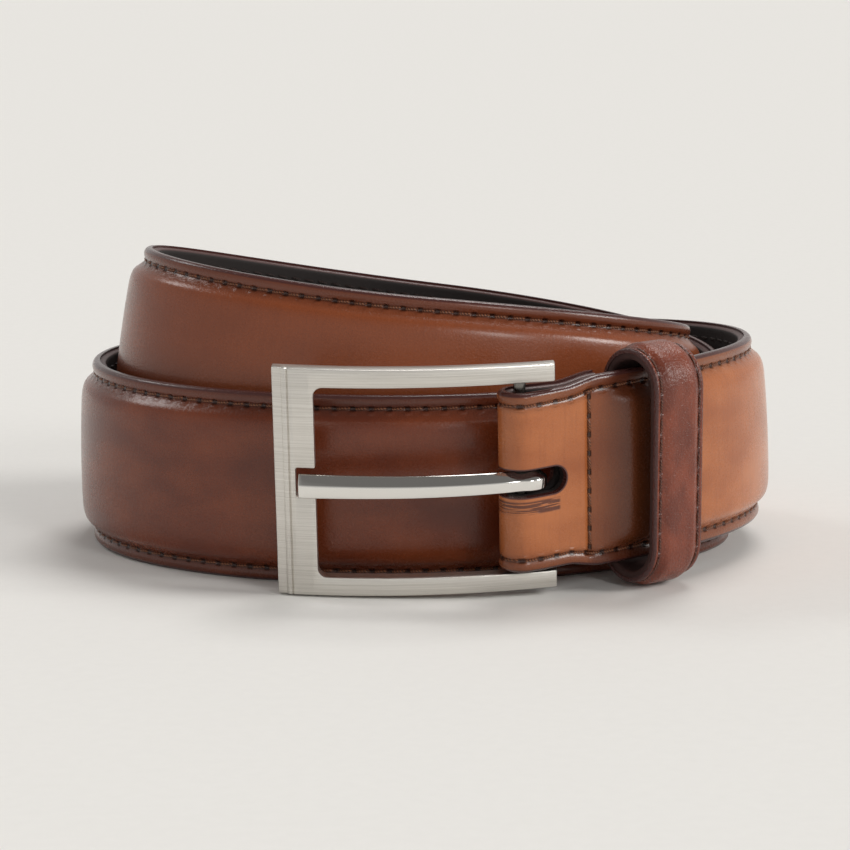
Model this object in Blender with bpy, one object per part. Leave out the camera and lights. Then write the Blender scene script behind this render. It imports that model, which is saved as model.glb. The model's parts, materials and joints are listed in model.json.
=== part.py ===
"""A gentleman's dress belt, rolled up and standing on the edge of its strap.

The strap is a face leather and a lining with a strip of padding sewn in between. It starts as a short flap,
wraps round the heel pin of the buckle and then runs in a coil of just over three turns. Every sheet, cord and
metal piece is a separate solid. +X is to the right, +Y is away from the buckle's front and +Z is up.
"""

import math

import bmesh
import bpy
import numpy as np
from mathutils import Matrix, Vector

MM = 0.001
GAP = 0.3 * MM

# Strap, measured across its section
STRAP_WIDTH = 35 * MM
FOLD_WIDTH = 32.8 * MM
STRAP_LENGTH = 1030 * MM
SHEET = 1.15 * MM
LINING_INSET = 0.35 * MM
EDGE_ZONE = 2.9 * MM
SHOULDER = 2.7 * MM
PANEL_RISE = 2.35 * MM
FILLER_INSET = 1.9 * MM
STITCH_LINE = 2.4 * MM
MIDDLE_SHARE = 0.35
THREAD = 0.4 * MM

# Coil: half its reach across X and across Y, the height of the lower edge and the inward lean, by angle turned.
# Angle 0 is the front and angles grow towards the right, so 90 is the right-hand end and 180 the back.
REACH_X = (
    (0, 64.6), (90, 64.6), (270, 61.7), (450, 59), (630, 56.2), (810, 52), (990, 45.4), (1170, 45.8), (1290, 45),
)
REACH_Y = (
    (0, 57), (45, 51.8), (180, 46.9), (360, 41.5), (405, 38), (540, 40.3),
    (720, 35.4), (765, 32.8), (900, 33.6), (1080, 29.2), (1290, 27),
)
HEIGHT = (
    (0, 3), (28, 4.5), (45, 5), (90, 4.8), (180, 0), (270, 0), (360, 0), (450, 0.4), (540, 9), (630, 21.6),
    (720, 16.4), (810, 5.4), (900, 0), (990, 0), (1080, 0), (1290, 0),
)
LEAN = (
    (0, -8), (45, 1.5), (90, 3.5), (170, 0), (210, 0), (270, 0.5), (360, -2), (450, 3.6), (540, 0.5),
    (630, 8.5), (720, 3), (810, 3.8), (900, 0), (990, 2), (1080, 3), (1170, 4.2), (1290, 4),
)
PIN_ANGLE = 17.1
PATH_STEP = 0.25
STATION_STEP = 11 * MM
FOLD_STATIONS = 13

# Fold round the heel pin
PIN_RADIUS = 1.1 * MM
PIN_CLEARANCE = 0.2 * MM
FOLD_INSET = 1.35 * MM
FOLD_RADIUS = PIN_RADIUS + PIN_CLEARANCE + SHEET + GAP / 2
FLAP_OFFSET = 2 * SHEET + 2 * GAP
SEAM_PLACE = 12.5 * MM
FLAP_LENGTH = 16 * MM
PANEL_START = 14 * MM
PANEL_FULL = 22 * MM
SLOT_HEIGHT = 5.3 * MM
SLOT_REACH = 7.6 * MM

# Tip and holes
TIP_LENGTH = 26 * MM
TIP_SHAPE = 2.2
HOLE_COUNT = 5
HOLE_PITCH = 25 * MM
FIRST_HOLE = 86 * MM
HOLE_RADIUS = 2 * MM

# Buckle frame, along its length from the heel pin
FRAME_LEFT = 43.6 * MM
FRAME_RIGHT = 6.3 * MM
FRAME_HEIGHT = 41.8 * MM
FRAME_THICKNESS = 3.2 * MM
FRAME_BOW = 3.2 * MM
FRAME_LIFT = 0.2 * MM
BAR_WIDTH = 7.3 * MM
WINDOW_HEIGHT = 34.8 * MM
WINDOW_CORNER = 1.6 * MM
NOTCH_DEPTH = 3.5 * MM
NOTCH_HEIGHT = 5.4 * MM
FRAME_STEPS = 16
RIDGE_PLACE = 2 * MM
RIDGE_DROP = 0.45 * MM

# Prong
PRONG_THICKNESS = 2.4 * MM
PRONG_HEIGHT = 4 * MM
PRONG_ROOT_HEIGHT = 3.3 * MM
PRONG_TIP = 39.4 * MM
PRONG_ARCH = 2.6 * MM
PRONG_SAG = 0.45 * MM
PRONG_WRAP = 238

# Keeper loop
LOOP_ANGLE = 39.5
LOOP_SKEW = -2
LOOP_WIDTH = 11.6 * MM
LOOP_HEIGHT = 42.8 * MM
LOOP_DEPTH = 14.8 * MM
LOOP_CENTRE = 1.75 * MM
LOOP_SHEET = 0.9 * MM
LOOP_CORE = 0.4 * MM
LOOP_EDGE = 1.7 * MM
LOOP_BEVEL = 1 * MM
LOOP_LINING_INSET = 0.2 * MM
LOOP_SEGMENTS = 10
LOOP_LIFT = 1 * MM
STAPLE_CROWN = 7 * MM
STAPLE_WIRE = 0.6 * MM

FACE_COLOUR = (0.30, 0.10, 0.035, 1)
LOOP_COLOUR = (0.16, 0.045, 0.025, 1)
LINING_COLOUR = (0.02, 0.014, 0.013, 1)
FILLER_COLOUR = (0.42, 0.33, 0.24, 1)
THREAD_COLOUR = (0.07, 0.025, 0.012, 1)
NICKEL_COLOUR = (0.62, 0.60, 0.55, 1)
STEEL_COLOUR = (0.74, 0.73, 0.71, 1)


def clear_scene():
    for obj in list(bpy.data.objects):
        bpy.data.objects.remove(obj, do_unlink=True)


def material(name, colour, roughness, metallic=0.0):
    made = bpy.data.materials.new(name)
    made.use_nodes = True
    shader = made.node_tree.nodes["Principled BSDF"]
    shader.inputs["Base Color"].default_value = colour
    shader.inputs["Roughness"].default_value = roughness
    shader.inputs["Metallic"].default_value = metallic
    return made


def unit(vectors):
    return vectors / np.linalg.norm(vectors, axis=-1, keepdims=True)


def smooth_curve(keys, places):
    """A smooth curve through the (place, value) keys, read at the places."""
    known, values = np.array(keys, float).T
    slopes = np.gradient(values, known)
    index = np.clip(np.searchsorted(known, places, side="right") - 1, 0, len(known) - 2)
    span = known[index + 1] - known[index]
    u = np.clip((places - known[index]) / span, 0, 1)
    return (
        values[index] * (1 + 2 * u) * (1 - u) ** 2
        + slopes[index] * span * u * (1 - u) ** 2
        + values[index + 1] * u * u * (3 - 2 * u)
        + slopes[index + 1] * span * u * u * (u - 1)
    )


def ease(value, start, end):
    u = np.clip((value - start) / (end - start), 0, 1)
    return u * u * (3 - 2 * u)


class Coil:
    """The line that the strap's lower edge follows, with its along, across and outward directions."""

    def __init__(self):
        angles = np.arange(PIN_ANGLE, REACH_X[-1][0], PATH_STEP)
        turn = np.radians(angles)
        self.line = np.stack(
            [
                smooth_curve(REACH_X, angles) * MM * np.sin(turn),
                -smooth_curve(REACH_Y, angles) * MM * np.cos(turn),
                np.maximum(smooth_curve(HEIGHT, angles), 0) * MM,
            ],
            axis=1,
        )
        self.along = unit(np.gradient(self.line, axis=0))
        flat = unit(np.stack([self.along[:, 1], -self.along[:, 0], 0 * turn], axis=1))
        lean = np.radians(smooth_curve(LEAN, angles))[:, None]
        across = np.cos(lean) * np.array([0, 0, 1]) - np.sin(lean) * flat
        across -= (across * self.along).sum(axis=1, keepdims=True) * self.along
        self.across = unit(across)
        steps = np.linalg.norm(np.diff(self.line, axis=0), axis=1)
        self.length = np.concatenate([[0], np.cumsum(steps)])
        self.angles = angles

    def place(self, distance):
        """(lower edge, along, across, outward) at a distance along the strap from the heel pin."""

        def read(table):
            return np.array([np.interp(distance, self.length, column) for column in table.T])

        line, along, across = read(self.line), unit(read(self.along)), unit(read(self.across))
        return line, along, across, np.cross(along, across)

    def distance_at(self, angle):
        return float(np.interp(angle, self.angles, self.length))


def fold_offset(distance):
    """How far the front layer stands out from the coil's line beside the pin."""
    return (FOLD_RADIUS - FOLD_INSET) * (1 - ease(distance, 0, SEAM_PLACE))


def flap_offset(distance):
    start = FOLD_RADIUS + FOLD_INSET
    return start + (FLAP_OFFSET - start) * ease(distance, 0, SEAM_PLACE)


def pin_centre(coil):
    line, along, across, outward = coil.place(0)
    return line - FOLD_INSET * outward + across * STRAP_WIDTH / 2, along, across, outward


def stations(coil):
    """Every station of the strap as (distance, width, rise, point, across, outward), from the flap to the tip."""
    made = []
    for distance in (FLAP_LENGTH, SEAM_PLACE, 8 * MM, 4 * MM):
        line, along, across, outward = coil.place(distance)
        middle = line - flap_offset(distance) * outward + across * STRAP_WIDTH / 2
        made.append((distance, strap_width(distance), 0, middle, across, -outward))
    centre, along, across, outward = pin_centre(coil)
    for turned in np.radians(np.arange(0, 181, 22.5)):
        radial = -math.cos(turned) * outward - math.sin(turned) * along
        made.append((0, strap_width(0), 0, centre + FOLD_RADIUS * radial, across, radial))
    assert len(made) == FOLD_STATIONS
    near = [4 * MM, 8 * MM, SEAM_PLACE, PANEL_START, 16 * MM, 19 * MM, PANEL_FULL]
    tip = STRAP_LENGTH - TIP_LENGTH
    far = list(np.linspace(PANEL_FULL, tip, round((tip - PANEL_FULL) / STATION_STEP))[1:])
    end = [tip + TIP_LENGTH * share for share in (0.3, 0.55, 0.75, 0.88, 0.95, 0.99)]
    for distance in near + far + end:
        line, along, across, outward = coil.place(distance)
        middle = line + fold_offset(distance) * outward + across * STRAP_WIDTH / 2
        made.append((distance, strap_width(distance), panel_rise(distance), middle, across, outward))
    return made


def strap_width(distance):
    width = FOLD_WIDTH + (STRAP_WIDTH - FOLD_WIDTH) * ease(distance, 7.5 * MM, 15 * MM)
    along_tip = max(0, (distance - STRAP_LENGTH + TIP_LENGTH) / TIP_LENGTH)
    return width * (1 - along_tip**TIP_SHAPE) ** (1 / TIP_SHAPE)


def panel_rise(distance):
    full = STRAP_LENGTH - TIP_LENGTH
    return PANEL_RISE * ease(distance, PANEL_START, PANEL_FULL) * (1 - ease(distance, full - 4 * MM, full + 16 * MM))


def swept(name, sections, surface, ring=False):
    """A solid through sections of the same number of points, capped at both ends unless it closes on itself."""
    mesh = bmesh.new()
    rings = [[mesh.verts.new(point) for point in section] for section in sections]
    count = len(rings[0])
    pairs = list(zip(rings, rings[1:] + rings[:1])) if ring else list(zip(rings, rings[1:]))
    for first, second in pairs:
        for i in range(count):
            j = (i + 1) % count
            mesh.faces.new((first[i], first[j], second[j], second[i]))
    if not ring:
        mesh.faces.new(list(reversed(rings[0])))
        mesh.faces.new(rings[-1])
    bmesh.ops.recalc_face_normals(mesh, faces=mesh.faces)
    return finished(name, mesh, surface)


def finished(name, mesh, surface):
    data = bpy.data.meshes.new(name)
    mesh.to_mesh(data)
    mesh.free()
    data.materials.append(surface)
    data.shade_smooth()
    data.set_sharp_from_angle(angle=math.radians(35))
    obj = bpy.data.objects.new(name, data)
    bpy.context.scene.collection.objects.link(obj)
    return obj


def face_profile(width, rise):
    """Outline of the face leather's section: (across from the middle, outward), out over the panel and back under it."""
    half = width / 2
    low = GAP / 2
    high = low + SHEET
    zone = min(EDGE_ZONE, half * 0.3)
    shoulder = min(SHOULDER, half * 0.3)
    top = [
        (-half, high),
        (-half + zone, high),
        (-half + zone + shoulder * 0.55, high + rise * 0.78),
        (-half + zone + shoulder * 1.4, high + rise),
        (-half * MIDDLE_SHARE, high + rise),
    ]
    bottom = [
        (-half, low),
        (-half + zone + 0.35 * MM, low),
        (-half + zone + shoulder * 0.6 + 0.4 * MM, low + rise * 0.75),
        (-half + zone + shoulder * 1.4 + 0.3 * MM, low + rise),
        (-half * MIDDLE_SHARE, low + rise),
    ]
    over = top + [(-across, out) for across, out in reversed(top)]
    back = [(-across, out) for across, out in bottom] + list(reversed(bottom))
    return over + back


def filler_profile(width, rise):
    half = width / 2 - EDGE_ZONE - FILLER_INSET
    low = GAP / 2
    high = max(low + 0.25 * MM, low + rise - GAP)
    slope = SHOULDER * 0.6
    third = width / 2 * MIDDLE_SHARE
    top = [(-half + slope, high), (-third, high), (third, high), (half - slope, high)]
    return [(-half, low)] + top + [(half, low), (third, low), (-third, low)]


def lining_profile(width, rise):
    half = width / 2 - min(LINING_INSET, width / 8)
    third = half * MIDDLE_SHARE
    across = [-half, -third, third, half]
    return [(h, -GAP / 2) for h in across] + [(h, -GAP / 2 - SHEET) for h in reversed(across)]


def strap_sections(stops, profile):
    made = []
    for distance, width, rise, middle, across, outward in stops:
        made.append([middle + h * across + n * outward for h, n in profile(width, rise)])
    return made


def round_section(point, side, up, radius, sides=4):
    turns = [2 * math.pi * (i + 0.5) / sides for i in range(sides)]
    return [point + radius * (math.cos(t) * side + math.sin(t) * up) for t in turns]


def cord(name, points, ups, radius, surface, ring=False):
    """A cord of four sides through the points; ups give the direction that stays outward."""
    points = np.array(points)
    along = unit(np.gradient(points, axis=0))
    if ring:
        along = unit(np.roll(points, -1, axis=0) - np.roll(points, 1, axis=0))
    sections = []
    for point, forward, up in zip(points, along, ups):
        side = unit(np.cross(forward, up))
        sections.append(round_section(point, side, unit(np.cross(side, forward)), radius))
    return swept(name, sections, surface, ring)


def edge_threads(stops, surface):
    """The lockstitch round the strap's edge: one thread lies on the face and the other on the lining."""
    last = STRAP_LENGTH - 0.06 * TIP_LENGTH
    radius = THREAD / 2
    for name, start, out in (
        ("edge_needle_thread", PANEL_START, GAP / 2 + SHEET + GAP + radius),
        ("edge_bobbin_thread", FLAP_LENGTH + 2 * MM, -GAP / 2 - SHEET - GAP - radius),
    ):
        run = [stop for stop in stops[FOLD_STATIONS:] if start <= stop[0] < last]
        points, ups = [], []
        for side, order in ((-1, run), (1, list(reversed(run)))):
            for distance, width, rise, middle, across, outward in order:
                inset = STITCH_LINE if out > 0 else STITCH_LINE + 0.6 * MM
                inset = min(inset, width * 0.3)
                points.append(middle + side * (width / 2 - inset) * across + out * outward)
                ups.append(outward)
        cord(name, points, ups, radius, surface)


def seam_threads(coil, surface):
    """The row sewn across the strap beside the fold, through both layers."""
    line, along, across, outward = coil.place(SEAM_PLACE)
    middle = line + across * STRAP_WIDTH / 2
    radius = THREAD / 2
    reach = STRAP_WIDTH / 2 - STITCH_LINE - 1.1 * MM
    for name, out in (
        ("seam_needle_thread", GAP / 2 + SHEET + GAP + radius),
        ("seam_bobbin_thread", -FLAP_OFFSET - GAP / 2 - SHEET - GAP - radius),
    ):
        points = [middle + h * across + out * outward for h in np.linspace(-reach, reach, 9)]
        cord(name, points, [outward] * len(points), radius, surface)


def cutter(name, mesh):
    data = bpy.data.meshes.new(name)
    bmesh.ops.recalc_face_normals(mesh, faces=mesh.faces)
    mesh.to_mesh(data)
    mesh.free()
    obj = bpy.data.objects.new(name, data)
    bpy.context.scene.collection.objects.link(obj)
    obj.hide_render = True
    obj.display_type = "WIRE"
    return obj


def cut(obj, tool):
    change = obj.modifiers.new("cut " + tool.name, "BOOLEAN")
    change.operation = "DIFFERENCE"
    change.object = tool


def placing(origin, x_axis, y_axis, z_axis):
    columns = [Vector(axis) for axis in (x_axis, y_axis, z_axis)]
    return Matrix.Translation(Vector(origin)) @ Matrix(columns).transposed().to_4x4()


def cylinder_cutter(name, centre, axis, radius, half_length, sides=16):
    mesh = bmesh.new()
    bmesh.ops.create_cone(
        mesh, cap_ends=True, segments=sides, radius1=radius, radius2=radius, depth=2 * half_length
    )
    turn = Vector((0, 0, 1)).rotation_difference(Vector(axis)).to_matrix().to_4x4()
    bmesh.ops.transform(mesh, matrix=Matrix.Translation(Vector(centre)) @ turn, verts=mesh.verts)
    return cutter(name, mesh)


def slot_cutter(coil):
    """A flat bar with a round end, which opens the fold for the prong on both layers."""
    centre, along, across, outward = pin_centre(coil)
    radius = SLOT_HEIGHT / 2
    outline = [(-12 * MM, -radius)]
    for turned in np.radians(np.linspace(-90, 90, 9)):
        outline.append((SLOT_REACH - radius + radius * math.cos(turned), radius * math.sin(turned)))
    outline.append((-12 * MM, radius))
    mesh = bmesh.new()
    ends = []
    for depth in (-5.2 * MM, 8 * MM):
        ends.append([mesh.verts.new(centre + a * along + h * across + depth * outward) for a, h in outline])
    for i in range(len(outline)):
        j = (i + 1) % len(outline)
        mesh.faces.new((ends[0][i], ends[0][j], ends[1][j], ends[1][i]))
    mesh.faces.new(ends[0])
    mesh.faces.new(ends[1])
    return cutter("slot cutter", mesh)


def make_strap(coil, skins):
    stops = stations(coil)
    face = swept("strap_face", strap_sections(stops, face_profile), skins["face"])
    lining = swept("strap_lining", strap_sections(stops, lining_profile), skins["lining"])
    padded = [stop for stop in stops if stop[2] > 0.75 * PANEL_RISE]
    filler = swept("strap_filler", strap_sections(padded, filler_profile), skins["filler"])
    slot = slot_cutter(coil)
    for sheet in (face, lining):
        cut(sheet, slot)
    for index in range(HOLE_COUNT):
        distance = STRAP_LENGTH - FIRST_HOLE - index * HOLE_PITCH
        line, along, across, outward = coil.place(distance)
        centre = line + across * STRAP_WIDTH / 2 + 1.0 * MM * outward
        tool = cylinder_cutter(f"hole cutter {index + 1}", centre, outward, HOLE_RADIUS, 3 * MM)
        for sheet in (face, filler, lining):
            cut(sheet, tool)
    edge_threads(stops, skins["thread"])
    seam_threads(coil, skins["thread"])


def buckle_axes(coil):
    """(pin centre, length axis to the right, outward axis, pin axis) of the buckle."""
    centre, along, across, outward = pin_centre(coil)
    length = unit(np.array([1.0, 0, 0]) - across[0] * across)
    out = np.cross(length, across)
    lowest = centre[2] - FRAME_HEIGHT / 2 * across[2] - FRAME_LEFT * length[2]
    return centre + np.array([0, 0, FRAME_LIFT - lowest]), length, out, across


def bow(place):
    """How far the frame's middle surface stands out in front of the pin, at a place along its length."""
    middle = (FRAME_RIGHT - FRAME_LEFT) / 2
    half = (FRAME_RIGHT + FRAME_LEFT) / 2
    rise = 1 - ((place - middle) / half) ** 2
    at_pin = 1 - (middle / half) ** 2
    return FRAME_BOW * (rise - at_pin)


def make_frame(coil, surface):
    """A C-shaped plate, cut to its window and notch while flat, and then bowed outwards."""
    centre, length, out, up = buckle_axes(coil)
    plate = bmesh.new()
    places = sorted(list(np.linspace(-FRAME_LEFT, FRAME_RIGHT, FRAME_STEPS + 1)) + [RIDGE_PLACE - FRAME_LEFT])
    rings = []
    for place in places:
        half = FRAME_HEIGHT / 2 - 0.35 * MM * (place + FRAME_LEFT) / (FRAME_LEFT + FRAME_RIGHT)
        front = FRAME_THICKNESS / 2
        if place < RIDGE_PLACE - FRAME_LEFT:
            front -= RIDGE_DROP
        corners = ((-FRAME_THICKNESS / 2, -half), (front, -half), (front, half), (-FRAME_THICKNESS / 2, half))
        rings.append([plate.verts.new((place, depth, height)) for depth, height in corners])
    for first, second in zip(rings, rings[1:]):
        for i in range(4):
            j = (i + 1) % 4
            plate.faces.new((first[i], first[j], second[j], second[i]))
    plate.faces.new(rings[0])
    plate.faces.new(rings[-1])
    bmesh.ops.recalc_face_normals(plate, faces=plate.faces)
    frame = finished("buckle_frame", plate, surface)
    left = BAR_WIDTH - FRAME_LEFT
    cut(frame, window_cutter(left, FRAME_RIGHT + 4 * MM))
    cut(frame, box_cutter("notch cutter", (left - NOTCH_DEPTH, left + MM), NOTCH_HEIGHT / 2, FRAME_THICKNESS))
    bore = cylinder_cutter("pin bore cutter", (0, 0, 0), (0, 0, 1), PIN_RADIUS + PIN_CLEARANCE, FRAME_HEIGHT, 20)
    cut(frame, bore)
    bpy.context.view_layer.update()
    flat = frame.evaluated_get(bpy.context.evaluated_depsgraph_get())
    bowed = bpy.data.meshes.new_from_object(flat)
    frame.modifiers.clear()
    axes = placing(centre, length, out, up)
    for vertex in bowed.vertices:
        place, depth, height = vertex.co
        vertex.co = axes @ Vector((place, depth + bow(place), height))
    bowed.flip_normals()
    frame.data = bowed


def window_cutter(left, right):
    half = WINDOW_HEIGHT / 2
    outline = [(right, -half)]
    for corner, start in ((-1, 270), (1, 180)):
        for turned in np.radians(np.linspace(start, start - 90, 5)):
            outline.append(
                (
                    left + WINDOW_CORNER + WINDOW_CORNER * math.cos(turned),
                    corner * (half - WINDOW_CORNER) + WINDOW_CORNER * math.sin(turned),
                )
            )
    outline.append((right, half))
    mesh = bmesh.new()
    ends = [[mesh.verts.new((a, depth, h)) for a, h in outline] for depth in (-6 * MM, 6 * MM)]
    for i in range(len(outline)):
        j = (i + 1) % len(outline)
        mesh.faces.new((ends[0][i], ends[0][j], ends[1][j], ends[1][i]))
    mesh.faces.new(ends[0])
    mesh.faces.new(ends[1])
    return cutter("window cutter", mesh)


def box_cutter(name, span, half_height, half_depth):
    mesh = bmesh.new()
    bmesh.ops.create_cube(mesh, size=1)
    size = Matrix.Diagonal((span[1] - span[0], 2 * half_depth, 2 * half_height, 1))
    bmesh.ops.transform(mesh, matrix=Matrix.Translation(((span[0] + span[1]) / 2, 0, 0)) @ size, verts=mesh.verts)
    return cutter(name, mesh)


def make_pin(coil, surface):
    centre, length, out, up = buckle_axes(coil)
    mesh = bmesh.new()
    reach = FRAME_HEIGHT - 1.2 * MM
    bmesh.ops.create_cone(
        mesh, cap_ends=True, segments=20, radius1=PIN_RADIUS, radius2=PIN_RADIUS, depth=reach
    )
    bmesh.ops.transform(mesh, matrix=placing(centre, length, out, up), verts=mesh.verts)
    bmesh.ops.recalc_face_normals(mesh, faces=mesh.faces)
    finished("heel_pin", mesh, surface)


def prong_line():
    """The prong's middle line from its tip to the end of its eye, as (place, outward, drop, height)."""
    root = PIN_RADIUS + PIN_CLEARANCE + PRONG_THICKNESS / 2
    rest = FRAME_THICKNESS / 2 + bow(-PRONG_TIP) + 0.1 * MM
    made = []
    for share in np.linspace(0, 1, 13)[:-1]:
        place = -PRONG_TIP * (1 - share)
        out = rest + (root - rest) * ease(share, 0, 1) + PRONG_ARCH * math.sin(math.pi * share) ** 0.8
        made.append((place, out, PRONG_SAG * (1 - share), PRONG_HEIGHT + (PRONG_ROOT_HEIGHT - PRONG_HEIGHT) * share))
    for turned in np.radians(np.linspace(90, 90 - PRONG_WRAP, 12)):
        made.append((root * math.cos(turned), root * math.sin(turned), 0, PRONG_ROOT_HEIGHT))
    return made


def make_prong(coil, surface):
    centre, length, out, up = buckle_axes(coil)
    line = prong_line()
    points = np.array([centre + a * length + n * out - drop * up for a, n, drop, _ in line])
    along = unit(np.gradient(points, axis=0))
    sections = []
    for (_, _, _, height), point, forward in zip(line, points, along):
        side = unit(np.cross(forward, up))
        side = side if len(sections) < 12 else unit(point - centre - ((point - centre) @ up) * up)
        side = side if side @ out > 0 or len(sections) >= 12 else -side
        half, thick = height / 2, PRONG_THICKNESS / 2
        corners = ((-half, -thick), (-half, thick), (half * 0.2, thick), (half, thick * 0.1), (half, -thick))
        sections.append([point + h * up + n * side for h, n in corners])
    swept("prong", sections, surface)


def loop_axes(coil):
    """(centre, across the loop's width, outward, up) of the keeper loop, skewed a little on the strap."""
    line, along, across, outward = coil.place(coil.distance_at(LOOP_ANGLE))
    skew = math.radians(LOOP_SKEW)
    width = math.cos(skew) * along + math.sin(skew) * outward
    up = np.array([0, 0, 1.0])
    width = unit(width - width[2] * up)
    out = np.cross(width, up)
    middle = line + LOOP_CENTRE * outward
    middle[2] = LOOP_LIFT + LOOP_HEIGHT / 2
    return middle, width, out, up


def stadium(depth, height, joint):
    """Points round an upright ring with half-round ends, from one side of the joint at the back to the other."""
    radius = depth / 2
    straight = height / 2 - radius

    def half_round(start, centre):
        turns = np.radians(np.linspace(start, start + 180, LOOP_SEGMENTS + 1))
        facing = [(math.cos(turned), math.sin(turned)) for turned in turns]
        return [(radius * out, centre + radius * up, (out, up)) for out, up in facing]

    lower = [(-radius, -joint, (-1, 0)), (-radius, -straight / 2, (-1, 0))] + half_round(180, -straight)
    upper = half_round(0, straight) + [(-radius, straight / 2, (-1, 0)), (-radius, joint, (-1, 0))]
    return lower + [(radius, 0, (1, 0))] + upper


def loop_sweep(name, coil, profile, surface, padded_only=False):
    """A strip bent round the loop. profile(rise) gives its section, and the rise fades out towards the back."""
    middle, width, out, up = loop_axes(coil)
    sections = []
    for n, h, (dn, dh) in stadium(LOOP_DEPTH - 2 * LOOP_SHEET, LOOP_HEIGHT - 2 * LOOP_SHEET, GAP / 2):
        rise = (LOOP_CORE + GAP) * ease(dn, -0.9, -0.2)
        if padded_only and rise < LOOP_CORE + GAP:
            continue
        base = middle + n * out + h * up
        radial = dn * out + dh * up
        sections.append([base + w * width + r * radial for w, r in profile(rise)])
    return swept(name, sections, surface)


def make_loop(coil, skins):
    half = LOOP_WIDTH / 2
    shoulder = half - LOOP_EDGE

    def face(rise):
        left = [
            (-half, LOOP_SHEET), (-shoulder, LOOP_SHEET), (LOOP_BEVEL - shoulder, LOOP_SHEET + rise),
        ]
        under = [(-half, 0), (LOOP_BEVEL / 2 - shoulder, 0), (LOOP_BEVEL * 1.3 - shoulder, rise)]
        top = left + [(-w, r) for w, r in reversed(left)]
        return top + [(-w, r) for w, r in under] + list(reversed(under))

    def strip(reach, low, high):
        return lambda rise: [(-reach, low), (-reach, high), (reach, high), (reach, low)]

    loop_sweep("loop_face", coil, face, skins["loop"])
    loop_sweep("loop_filler", coil, strip(shoulder - LOOP_BEVEL * 1.6, 0, LOOP_CORE), skins["filler"], True)
    lining = strip(half - LOOP_LINING_INSET, -GAP - LOOP_SHEET, -GAP)
    loop_sweep("loop_lining", coil, lining, skins["lining"])
    row = shoulder + 0.55 * MM
    lift = LOOP_SHEET + GAP + THREAD / 2
    square = [(-1, -1), (-1, 1), (1, 1), (1, -1)]
    for name, side in (("loop_buckle_side_thread", -1), ("loop_tip_side_thread", 1)):
        section = [(side * row + a * THREAD / 2, lift + b * THREAD / 2) for a, b in square]
        loop_sweep(name, coil, lambda rise, section=section: section, skins["thread"])
    make_staple(coil, skins["steel"])


def make_staple(coil, surface):
    """The wire that joins the ends of the loop's strip, flat against the inside of its back."""
    middle, width, out, up = loop_axes(coil)
    half = STAPLE_WIRE / 2
    inside = -(LOOP_DEPTH / 2 - LOOP_SHEET) + GAP + LOOP_SHEET + GAP + half
    points = [middle + inside * out + h * up for h in np.linspace(-STAPLE_CROWN / 2, STAPLE_CROWN / 2, 5)]
    cord("loop_staple", points, [out] * len(points), half, surface)


def stand_on_origin():
    """Shifts the belt so that the origin is under the middle of its box."""
    bpy.context.view_layer.update()
    graph = bpy.context.evaluated_depsgraph_get()
    corners = []
    shown = [obj for obj in bpy.data.objects if not obj.hide_render]
    for obj in shown:
        data = obj.evaluated_get(graph).to_mesh()
        points = np.empty(len(data.vertices) * 3)
        data.vertices.foreach_get("co", points)
        corners.append(points.reshape(-1, 3))
    corners = np.concatenate(corners)
    low, high = corners.min(axis=0), corners.max(axis=0)
    shift = Matrix.Translation(Vector((-(low[0] + high[0]) / 2, -(low[1] + high[1]) / 2, -low[2])))
    for obj in bpy.data.objects:
        obj.data.transform(shift)
    return shift


def set_origin(name, point):
    """Puts an object's own origin at a point, and leaves its shape where it is."""
    obj = bpy.data.objects[name]
    obj.data.transform(Matrix.Translation(-Vector(point)))
    obj.location = point


def bend_centre(coil):
    """Centre of the arc that the strap follows where the keeper loop rides on it."""
    middle = coil.distance_at(LOOP_ANGLE)
    ends = [coil.place(middle + reach)[0][:2] for reach in (-10 * MM, 4 * MM, 18 * MM)]
    (ax, ay), (bx, by), (cx, cy) = ends
    scale = 2 * (ax * (by - cy) + bx * (cy - ay) + cx * (ay - by))
    squares = [x * x + y * y for x, y in ends]
    x = (squares[0] * (by - cy) + squares[1] * (cy - ay) + squares[2] * (ay - by)) / scale
    y = (squares[0] * (cx - bx) + squares[1] * (ax - cx) + squares[2] * (bx - ax)) / scale
    return Vector((x, y, 0))


def main():
    clear_scene()
    skins = {
        "face": material("face leather", FACE_COLOUR, 0.38),
        "loop": material("loop leather", LOOP_COLOUR, 0.45),
        "lining": material("lining leather", LINING_COLOUR, 0.8),
        "filler": material("padding", FILLER_COLOUR, 0.9),
        "thread": material("waxed thread", THREAD_COLOUR, 0.6),
        "nickel": material("satin nickel", NICKEL_COLOUR, 0.35, 1.0),
        "steel": material("polished steel", STEEL_COLOUR, 0.12, 1.0),
    }
    coil = Coil()
    make_strap(coil, skins)
    make_frame(coil, skins["nickel"])
    make_pin(coil, skins["steel"])
    make_prong(coil, skins["steel"])
    make_loop(coil, skins)
    shift = stand_on_origin()
    pin, _, _, pin_axis = buckle_axes(coil)
    pin = shift @ Vector(pin)
    bend = shift @ bend_centre(coil)
    for name in ("buckle_frame", "heel_pin", "prong"):
        set_origin(name, pin)
    for obj in [obj for obj in bpy.data.objects if obj.name.startswith("loop_")]:
        set_origin(obj.name, bend)
    print("heel pin at", tuple(round(v, 6) for v in pin), "along", tuple(round(float(v), 6) for v in pin_axis))
    print("loop turns about", tuple(round(v, 6) for v in bend))
    print("strap ends at angle", round(float(np.interp(STRAP_LENGTH, coil.length, coil.angles)), 1))


main()
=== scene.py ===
# %% [markdown]
# # A rolled-up dress belt
#
# The belt is a long padded strap, wound into an oval coil that stands on its edge, with a metal buckle and a
# leather keeper in front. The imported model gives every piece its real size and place. This script gives the
# leather, thread and metal their looks. It works in metres, with +X to the right, +Y away from the buckle's
# front and +Z up.

import json
import math

import bpy
import numpy as np
from mathutils import Matrix, Vector


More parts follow.
